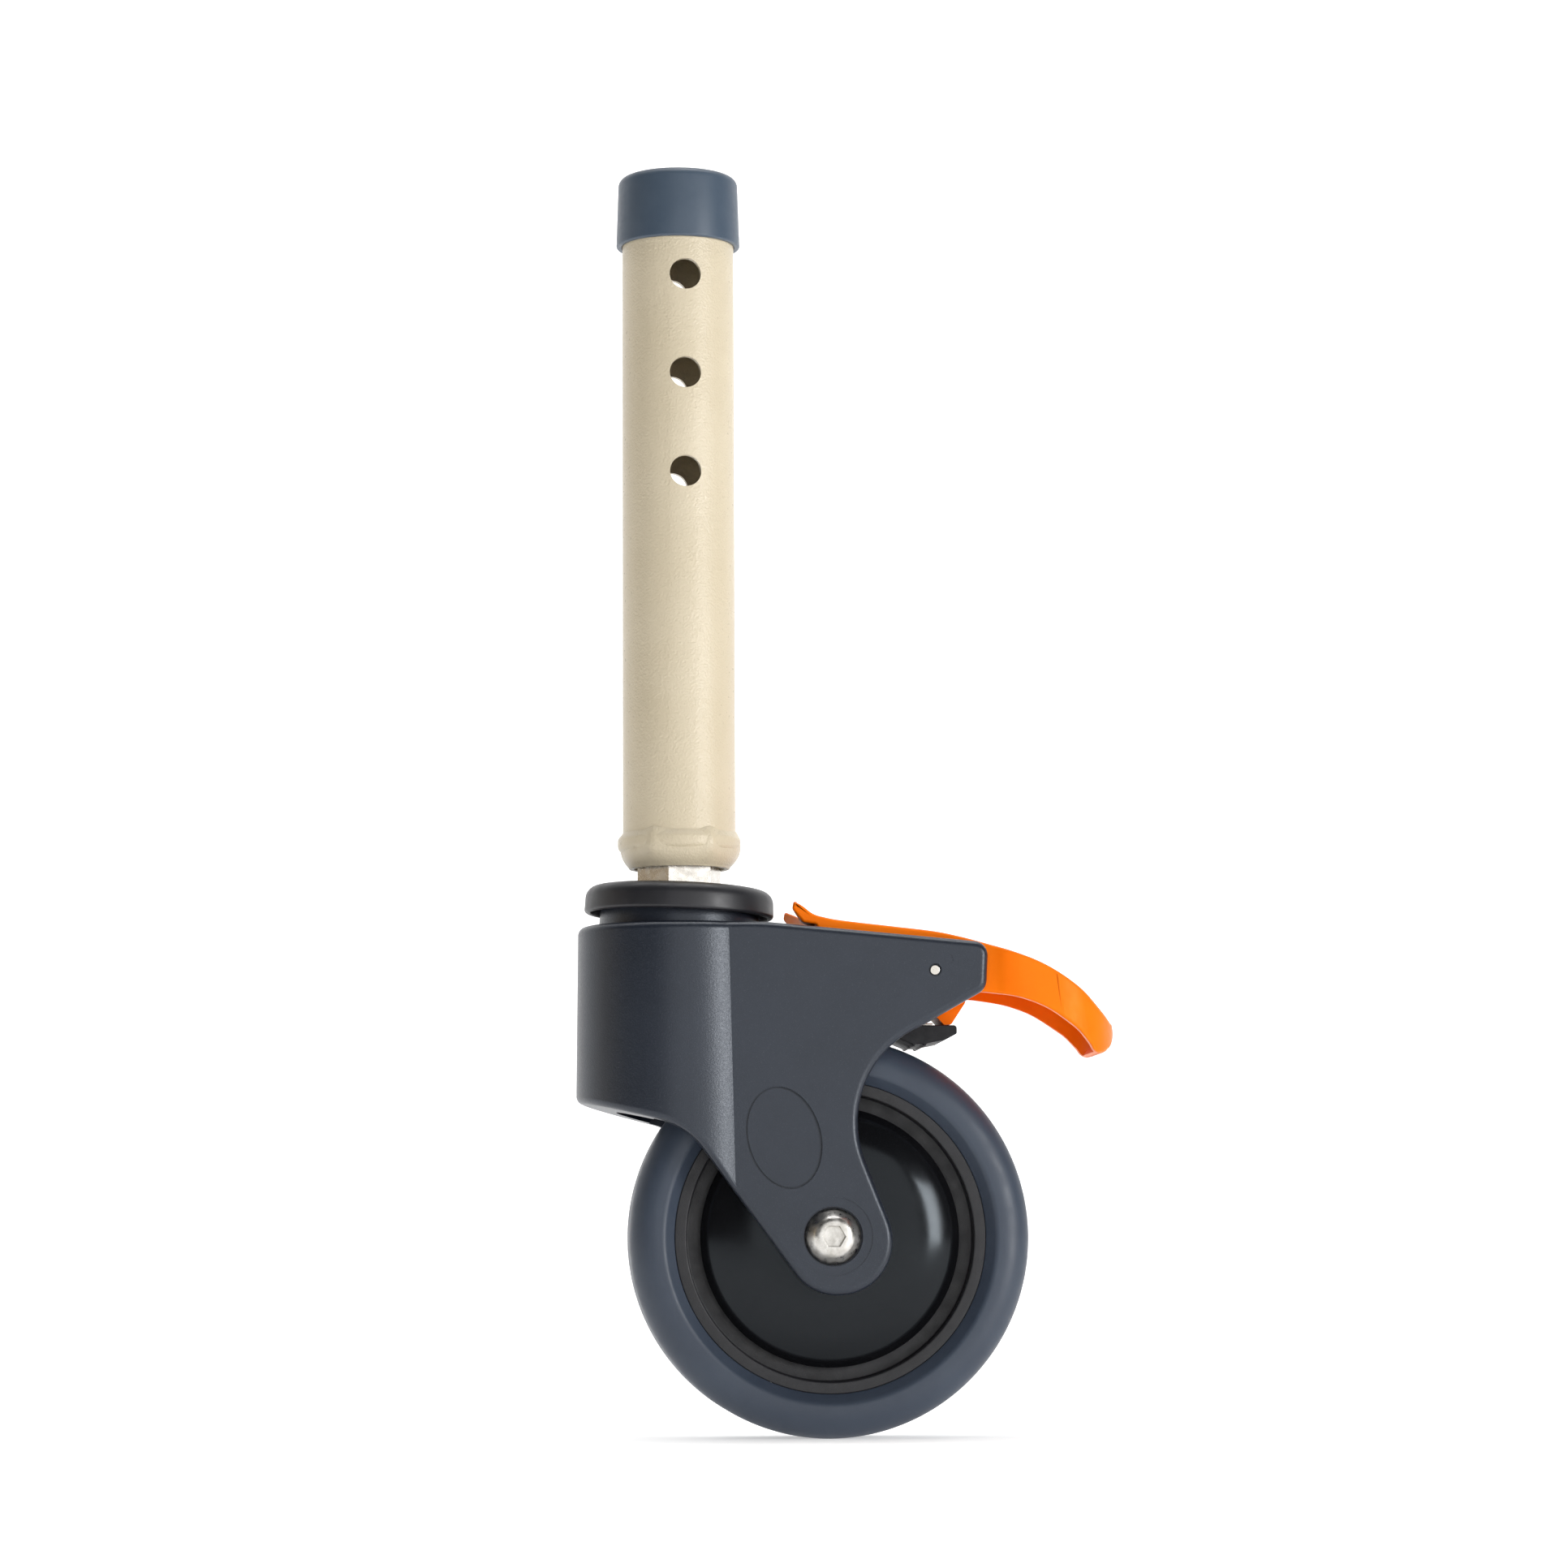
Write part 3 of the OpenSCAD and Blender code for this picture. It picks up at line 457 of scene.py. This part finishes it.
# The paper glows a little, like the lit table of a product photograph
paper = dict(colour=(0.88, 0.88, 0.88), second=(0.87, 0.87, 0.87), mottle=3, rough=(0.8, 0.9), grain=0.05,
             grainScale=400, sockets={"Emission Strength": 0.45, "Emission Color": (1, 1, 1, 1),
                                      "Specular IOR Level": 0.1})
lamps = dict(
    keyBox=dict(place=(0.98, -0.87, -0.08), size=(0.36, 0.75), power=12),
    frontBox=dict(place=(0.24, -1.68, 0.15), size=(1.5, 1.2), power=6.5),
    warmCard=dict(place=(-1.2, 0.05, -0.05), size=(0.8, 1.0), power=0.8, colour=(1.0, 0.78, 0.5)),
    topBox=dict(place=(0.1, -0.1, 1.3), size=(0.9, 0.7), power=6),
    wallWash=dict(place=(0.0, 0.3, 1.7), size=(3.0, 0.6), power=22, aim=(0, 1.6, 0.2)))
worldLight = dict(colour=(1, 1, 1, 1), strength=0.05)


def makeSweep():
    # Floor that bends up into the backdrop: a line, a quarter circle and a line, carried along X
    half, flat, bend = studio["floorHalf"], studio["flatTo"], studio["bend"]
    ang = np.linspace(0, math.pi / 2, studio["bendPoints"])
    y = np.concatenate([[-half], flat + bend * np.sin(ang), [flat + bend]])
    z = np.concatenate([[0], bend * (1 - np.cos(ang)), [studio["wallTop"]]]) + floorZ
    x = np.linspace(-half, half, 3)
    pts = np.stack(np.broadcast_arrays(x[:, None], y[None], z[None]), -1).reshape(-1, 3)
    mesh = bpy.data.meshes.new("sweep")
    mesh.from_pydata(pts.tolist(), [], gridFaces(len(x), len(y), False, False)[:, ::-1].tolist())
    mesh.polygons.foreach_set("use_smooth", np.ones(len(mesh.polygons), bool))
    floor = bpy.data.objects.new("sweep", mesh)
    bpy.context.scene.collection.objects.link(floor)
    mesh.materials.append(finish("paper", paper))


def areaLight(name, place, size, power, aim=(0.02, 0, -0.1), colour=(1, 1, 1)):
    # A soft box at its place, turned to face its aim
    light = bpy.data.lights.new(name, "AREA")
    light.shape = "RECTANGLE"
    light.size, light.size_y = size
    light.energy = power
    light.color = colour
    lamp = bpy.data.objects.new(name, light)
    lamp.location = place
    lamp.rotation_euler = (Vector(aim) - Vector(place)).to_track_quat("-Z", "Y").to_euler()
    bpy.context.scene.collection.objects.link(lamp)


def setLights():
    for name, values in lamps.items():
        areaLight(name, **values)
    world = bpy.data.worlds.new("studio")
    bpy.context.scene.world = world
    world.use_nodes = True
    background = world.node_tree.nodes["Background"]
    background.inputs["Color"].default_value = worldLight["colour"]
    background.inputs["Strength"].default_value = worldLight["strength"]
    bpy.context.scene.view_settings.view_transform = "Standard"


setCamera()
makeSweep()
setLights()
print("camera, sweep and lights set")

# Stem
capShape = dict(innerR=14.45, outerR=15.85, draft=0.6, mouth=253.6, tubeEnd=269.3, top=271.7, edge=2.2,
                innerLip=0.2, outerLip=0.5)
c = capShape
revolved("tube_cap_shown", rounded([(c["innerR"], c["mouth"], c["innerLip"]),
                                    (c["outerR"], c["mouth"], c["outerLip"]),
                                    (c["outerR"] - c["draft"], c["top"], c["edge"]), (axisR, c["top"], 0),
                                    (axisR, c["tubeEnd"], 0), (c["innerR"], c["tubeEnd"], 0)]),
         "stem", "stem", "cap_plastic", ["tube_cap"])

coverShape = dict(outerR=24.0, holeR=9.02, wall=1.5, draft=0.3, top=88.0, low=81.0, edge=3.2, underEdge=1.5,
                  outerLip=0.9, innerLip=0.3, tiltX=-0.9, tiltY=2.3, tiltAt=84.5)
c = coverShape
innerR, under = c["outerR"] - c["wall"], c["top"] - c["wall"]
cover = revolved("dust_cover_shown", rounded([(c["holeR"], c["top"], 0),
                                              (c["outerR"] - c["draft"], c["top"], c["edge"]),
                                              (c["outerR"], c["low"], c["outerLip"]),
                                              (innerR, c["low"], c["innerLip"]),
                                              (innerR, under, c["underEdge"]), (c["holeR"], under, 0)]),
                 "stem", "stem", "cover_plastic", ["dust_cover"])
# The real cover sits slightly askew on the collar
pivot = Matrix.Translation((0, 0, axleZ + c["tiltAt"] * mm))
cover.data.transform(pivot @ Matrix.Rotation(math.radians(c["tiltY"]), 4, "Y")
                     @ Matrix.Rotation(math.radians(c["tiltX"]), 4, "X") @ pivot.inverted())

# Ripples are (height, waves round the bead, shift in degrees), lobes (place and width in degrees, height)
beadShape = dict(tubeR=14.3, top=103.6, low=93.05, lowR=12.7, bulge=0.75, around=360, rows=40,
                 ripples=[(0.05, 9, 0), (0.04, 17, 40)],
                 lobes=[(-118.0, 11.0, 0.85), (-60.0, 10.0, 0.85), (0.0, 26.0, 0.62), (62.0, 20.0, 0.4),
                        (128.0, 24.0, 0.5), (-172.0, 14.0, -0.45)],
                 topDrop=1.6, topClimb=1.2, swellWidth=1.05, swellSkew=0.8, swellSoft=0.9,
                 drawFrom=0.45, drawOver=0.55, drawPower=2.2, sunk=0.06, thick=1.25, lip=0.3, smoothDeg=40)


def weldBead():
    # Radius of the bead: the tube's own, plus a bulge that is widest at one height and swells at each lobe,
    # drawn in below towards the lip. The upper edge climbs a little at the lobes.
    b = beadShape
    n = b["around"]
    ang = np.linspace(-180, 180, n, endpoint=False)
    lobe = sum(a * np.exp(-(((ang - m + 180) % 360 - 180) / w) ** 2) for m, w, a in b["lobes"])
    ripple = sum(a * np.sin(np.radians(ang * waves + shift)) for a, waves, shift in b["ripples"])
    t = np.linspace(0, 1, b["rows"])[None]
    high = b["top"] - b["topDrop"] + b["topClimb"] * lobe[:, None]
    z = high + (b["low"] - high) * t
    swell = np.sin(np.pi * np.clip(t * b["swellWidth"], 0, 1) ** b["swellSkew"]) ** b["swellSoft"]
    draw = (b["tubeR"] - b["lowR"]) * np.clip((t - b["drawFrom"]) / b["drawOver"], 0, 1) ** b["drawPower"]
    r = b["tubeR"] - b["sunk"] + swell * (b["bulge"] + lobe + ripple)[:, None] - draw
    a = np.radians(ang)[:, None]
    back = np.full((n, 2), b["lowR"] - b["thick"])
    r = np.concatenate([r, back], 1)
    z = np.concatenate([z, np.broadcast_to([[b["low"] + b["lip"], high.max()]], (n, 2))], 1) * mm + axleZ
    pts = np.stack([r * mm * np.cos(a), r * mm * np.sin(a), z], -1)
    meshPiece("weld_bead", pts.reshape(-1, 3), gridFaces(n, r.shape[1], True, True), "stem", "powder_coat",
              ["foot_plug"], b["smoothDeg"])


weldBead()
keptCopy(*cadCopy("stem_tube"), "stem_tube")
keptCopy(*cadCopy("foot_plug"), "foot_plug", weighted=False)
for node, bevel in {"swivel_stem": 0.25, "stem_washer": 0.15, "stem_nut": 0.3}.items():
    dressed(node, bevel)
print("stem dressed")

# Fork with its axle and pins. Sizes in mm, heights from the axle. Corners are (x, height, radius).
forkShape = dict(
    outline=[(-27.65, 78.2, 0), (20, 78.2, 60), (76.3, 73, 3.6), (75.7, 61.3, 4), (60.5, 52.7, 25),
             (36.3, 40.8, 26), (58.3, -14.5, 13.5), (31.606, -14.5, 12.5), (0.8, 27.4, 20),
             (-27.65, 34.3, 0)],
    side=23.0, gap=19.0, edge=1.8, smoothDeg=22,
    outlineSteps=14, roomPoints=180, holePoints=48, markPoints=32,
    # Housing: its profile (radius, height, rounding), the foot's edge and where the legs take over
    housing=[(26.37, 8, 0), (25.65, 78.2, 2), (20.4, 78.2, 0.5), (19.8, 84.5, 0.8)], housingSteps=144,
    footEdge=1.6, footHigh=40, footR=25, footDeg=45, cutX=31, behind=[(-30, 34.9), (-30, 95), (31, 95)],
    ahead=[(0, -30), (0, 90), (90, 90), (90, -30)],
    # Room for the wheel and the pedal, the bearing seats (from, to) and the holes
    wheelRoom=53.0, channel=[(33, 46), (33, 124), (110, 124), (110, 46)],
    bearingR=16.02, ledgeR=13.02, upperSeat=(67, 120), ledge=(60, 70), lowerSeat=(-5, 64),
    axle=(37.0, 0.0), axleHoleR=4.02, headSeatR=7.35, nutSeatR=8.6, seatY=21.2,
    pin=(62.8, 66.0), leverPin=(42.0, 60.0), pinHoleR=1.27, pinMouthR=1.6, pinMouthDepth=1.0, leverPinEnd=21,
    # Recesses of the sides: the oval is x, height and its two half axes
    oval=(24.9, 24.4, 9.2, 12.9), ovalDeg=15.0, ovalDepth=0.5, groove=0.45, grooveLap=0.03, grooveOpen=0.2,
    ringR=9.8, ringDepth=0.22, markR=1.15, markDepth=0.12, markPlace=(66.2, 68.7))


def makeFork():
    f = forkShape
    outline = rounded(f["outline"], f["outlineSteps"])
    side, gap = f["side"], f["gap"]
    # Housing: a lathed form cut off below along the outline, its foot rounded all the way round
    low, high = f["housing"][0][1], f["housing"][-1][1]
    prof = rounded([(axisR, low, 0)] + f["housing"] + [(axisR, high, 0)])
    ang = np.linspace(0, 2 * math.pi, f["housingSteps"], endpoint=False)
    rings = [np.stack([prof[:, 0] * math.cos(a), prof[:, 0] * math.sin(a), prof[:, 1]], -1) for a in ang]
    below = outline[np.argmin(outline[:, 1]):]
    below = np.concatenate([below[below[:, 0] < f["cutX"]], f["behind"]])
    housing = carve(tool(rings, closed=False), [("INTERSECT", upright(below, -reach, reach))])

    def atFoot(e):
        return ((max(v.co.z for v in e.verts) - axleZ) / mm < f["footHigh"]
                and min(math.hypot(v.co.x, v.co.y) for v in e.verts) / mm > f["footR"]
                and e.calc_face_angle(0) > math.radians(f["footDeg"]))

    housing = roundEdges(housing, f["footEdge"], atFoot)
    ax, az = f["axle"]
    px, pz = f["pin"]
    hole, end = (f["pinHoleR"], f["holePoints"]), f["leverPinEnd"]
    steps = [("INTERSECT", upright(f["ahead"], -reach, reach)),
             ("UNION", housing),
             ("DIFFERENCE", upright(circle(ax, az, f["wheelRoom"], f["roomPoints"]), -gap, gap)),
             ("DIFFERENCE", upright(f["channel"], -gap, gap)),
             ("DIFFERENCE", flatwise(circle(0, 0, f["bearingR"]), *f["upperSeat"])),
             ("DIFFERENCE", flatwise(circle(0, 0, f["ledgeR"]), *f["ledge"])),
             ("DIFFERENCE", flatwise(circle(0, 0, f["bearingR"]), *f["lowerSeat"])),
             ("DIFFERENCE", upright(circle(ax, az, f["axleHoleR"]), -reach, reach)),
             ("DIFFERENCE", upright(circle(ax, az, f["headSeatR"]), -reach, -f["seatY"])),
             ("DIFFERENCE", upright(circle(ax, az, f["nutSeatR"]), f["seatY"], reach)),
             ("DIFFERENCE", upright(circle(px, pz, *hole), -reach, reach)),
             ("DIFFERENCE", upright(circle(*f["leverPin"], *hole), -end, end))]
    ox, oz, oa, ob = f["oval"]
    tilt, depth = math.radians(f["ovalDeg"]), f["ovalDepth"]

    def recess(s, shape, deep):
        # Cut into the side s from outside
        return "DIFFERENCE", upright(shape, *sorted((s * (side - deep), s * reach)))

    for s in (-1, 1):
        # A narrow groove runs round the oval recess at its foot
        rims = [circle(ox, oz, oa - q, ry=ob - q, tilt=tilt) for q in (-f["grooveLap"], f["groove"])]
        foot = sorted((s * (side - depth - f["groove"]), s * (side - depth + f["grooveOpen"])))
        steps += [recess(s, circle(ox, oz, oa, ry=ob, tilt=tilt), depth),
                  ("DIFFERENCE", ringTool(*rims, *foot)),
                  recess(s, circle(*f["markPlace"], f["markR"], f["markPoints"]), f["markDepth"]),
                  recess(s, circle(ax, az, f["ringR"]), f["ringDepth"]),
                  recess(s, circle(px, pz, f["pinMouthR"], f["holePoints"]), f["pinMouthDepth"])]
    carvedPiece("fork", carve(softPlate(outline, side, f["edge"]), steps), f["smoothDeg"])


makeFork()
for node, bevel in {"axle_bolt": 0.15, "axle_washer": 0.12, "axle_nut": 0.3, "axle_sleeve": 0.1,
                    "pedal_pin": 0.2}.items():
    dressed(node, bevel)
print("fork dressed")

# Wheel: each piece is one profile turned round the axle. Halves are corners (radius, y, rounding).
wheelSegments = 240
tyreShape = dict(half=[(38.9, -13.4, 0.6), (41.5, -16, 2), (50, -16, 7)], steps=14)
revolved("tyre_shown", rounded(mirrored(tyreShape["half"]), tyreShape["steps"]), "axle", "wheel",
         "tyre_rubber", ["tyre"], wheelSegments)
rimShape = dict(half=[(12.02, 7, 0), (14.02, 7, 0), (14.02, 15, 0.3), (17.02, 15, 0.5), (17.02, 3, 2),
                      (30, 3, 2), (31, 8.8, 0.5), (35.9, 8.8, 0.5), (35.9, 13.4, 0.5), (38.88, 13.4, 0.3)])
revolved("rim_shown", rounded(mirrored(rimShape["half"])), "axle", "wheel", "rim_plastic", ["wheel_rim"],
         wheelSegments)
# The hub covers' front is a smooth line, their back has corners
domeShape = dict(front=[(32.4, 10.8), (30.5, 12.7), (28, 14.2), (24.5, 15.6), (20, 16.6), (15, 17.2),
                        (9.4, 17.4)], frontSteps=8,
                 back=[(9, 17.0, 0.2), (9, 15.3, 0.2), (18, 15.3, 8), (30.4, 10.6, 0.5), (30.4, 8.8, 0.2),
                       (32.4, 8.8, 0.2)])
dome = np.concatenate([through(domeShape["front"], domeShape["frontSteps"]), rounded(domeShape["back"])])
for name, side in {"near_hub_cover": -1, "far_hub_cover": 1}.items():
    revolved(name + "_shown", dome, "axle", "wheel", "gloss_cover", [name], wheelSegments, side)
print("wheel made")

# Brake: the pedal's side view counts from its pin. Lines are (x, height), corners (x, height, radius).
pedalShape = dict(
    top=[(-34.3, 17.3), (-32.6, 16.3), (-30, 14.4), (-27, 13.5), (-22.4, 12.7), (-10.2, 11.3), (0, 10.1),
         (6.1, 8.9), (12.1, 7.35), (20.2, 4.9), (28.4, 1.65), (36.8, -3.7), (42.5, -9.1), (46.4, -13)],
    tip=[(46.4, -13), (46.9, -15.2), (46.0, -17.8), (44.2, -19.7), (42.2, -20.3), (40.7, -19.5),
         (40, -18.4)],
    skirt=[(40, -18.4), (38.8, -16.9), (36.8, -14.7), (34.3, -12.8), (31.3, -10.7), (28.2, -8.9),
           (24.2, -7.3), (20.1, -6.2), (14, -5.35), (12.2, -5.2)],
    low=[(12.2, -5.2, 0), (-6, -5, 3), (-7.5, 8.2, 1), (-28.8, 8.4, 1), (-29.3, 11.8, 0.6),
         (-32.6, 12.3, 1.2), (-35.3, 15.6, 1.2), (-34.9, 17.6, 0.4), (-34.3, 17.3, 0)],
    wall=2.4, edge=0.75, edgeDeg=48, innerFrom=3, openBelow=[(41, -20), (39, -40), (-27, -40)],
    cornerSteps=6, planSteps=16, neckPoints=120, holePoints=48, smoothDeg=32,
    # Seen from above: rear edge, half widths, where the tab flares out, its end, the cut at the dust cover
    rear=19, inY=18.2, outY=19.8, flare=(77.6, 82.6), flareR=14, tipX=110.0, tipR=18.0, tipIn=3, neckR=32.6,
    heights=(-20, 120), neckHeights=(60, 120),
    # Hub on the pin with the cam under it and the web over it
    hubR=5.0, hubPlay=0.3, holeR=1.3, camHalf=8.0, web=[(0, 0), (0, 8.6), (4, 8.6), (4, 0)],
    cam=[(-4, 0, 0), (-3, -6, 2), (3.6, -12.9, 0.4), (5.4, -12.8, 0.6), (9.2, -7, 3), (9.2, 0, 0)])


def makePedal():
    d = pedalShape
    pin = np.array(forkShape["pin"])

    def plan(g):
        # The outline from above, moved outwards by g
        a, b, (x0, x1), x2, r = d["inY"] + g, d["outY"] + g, d["flare"], d["tipX"] + g, d["tipR"] + g
        near = [(d["rear"], -a, 0), (x0, -a, d["flareR"]), (x1, -b, d["flareR"]), (x2, -b + d["tipIn"], r)]
        return rounded(mirrored(near), d["planSteps"])

    def side(*parts):
        # The parts joined without the points that they share
        o = np.concatenate([np.asarray(q)[:, :2] for q in parts])
        keep = np.linalg.norm(o - np.roll(o, 1, 0), axis=1) > samePoint
        return o[keep] + pin

    rear = rounded(d["low"], d["cornerSteps"])[1:-1]
    outer = side(through(d["top"]), through(d["tip"])[1:], through(d["skirt"]), rear)
    inner = side(beside(through(d["top"][d["innerFrom"]:]), d["wall"]), d["openBelow"])
    # Its rear edge curves round the dust cover
    shell = carve(upright(outer, -reach, reach),
                  [("INTERSECT", flatwise(plan(0), *d["heights"])),
                   ("DIFFERENCE", flatwise(circle(0, 0, d["neckR"], d["neckPoints"]), *d["neckHeights"]))])
    shell = roundEdges(shell, d["edge"], lambda e: e.calc_face_angle(0) > math.radians(d["edgeDeg"]))
    hollow = carve(upright(inner, -reach, reach), [("INTERSECT", flatwise(plan(-d["wall"]), *d["heights"]))])
    half, hubHalf = d["camHalf"], d["inY"] - d["hubPlay"]
    mesh = carve(shell, [("DIFFERENCE", hollow),
                         ("UNION", upright(circle(*pin, d["hubR"]), -hubHalf, hubHalf)),
                         ("UNION", upright(rounded(d["cam"], d["cornerSteps"]) + pin, -half, half)),
                         ("UNION", upright(d["web"] + pin, -half, half)),
                         ("DIFFERENCE", upright(circle(*pin, d["holeR"], d["holePoints"]), -reach, reach))])
    carvedPiece("brake_pedal", mesh, d["smoothDeg"])


makePedal()
for node, bevel in {"brake_lever": 0.25, "brake_shoe": 0.3}.items():
    dressed(node, bevel)
print("brake dressed")

# Finishes on every piece
for obj in list(bpy.data.objects):
    slot = obj.get("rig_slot") or slotOf.get(obj.get("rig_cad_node"))
    if obj.type == "MESH" and slot in finishes:
        obj.data.materials.clear()
        obj.data.materials.append(finishes[slot])
print("finishes put on")
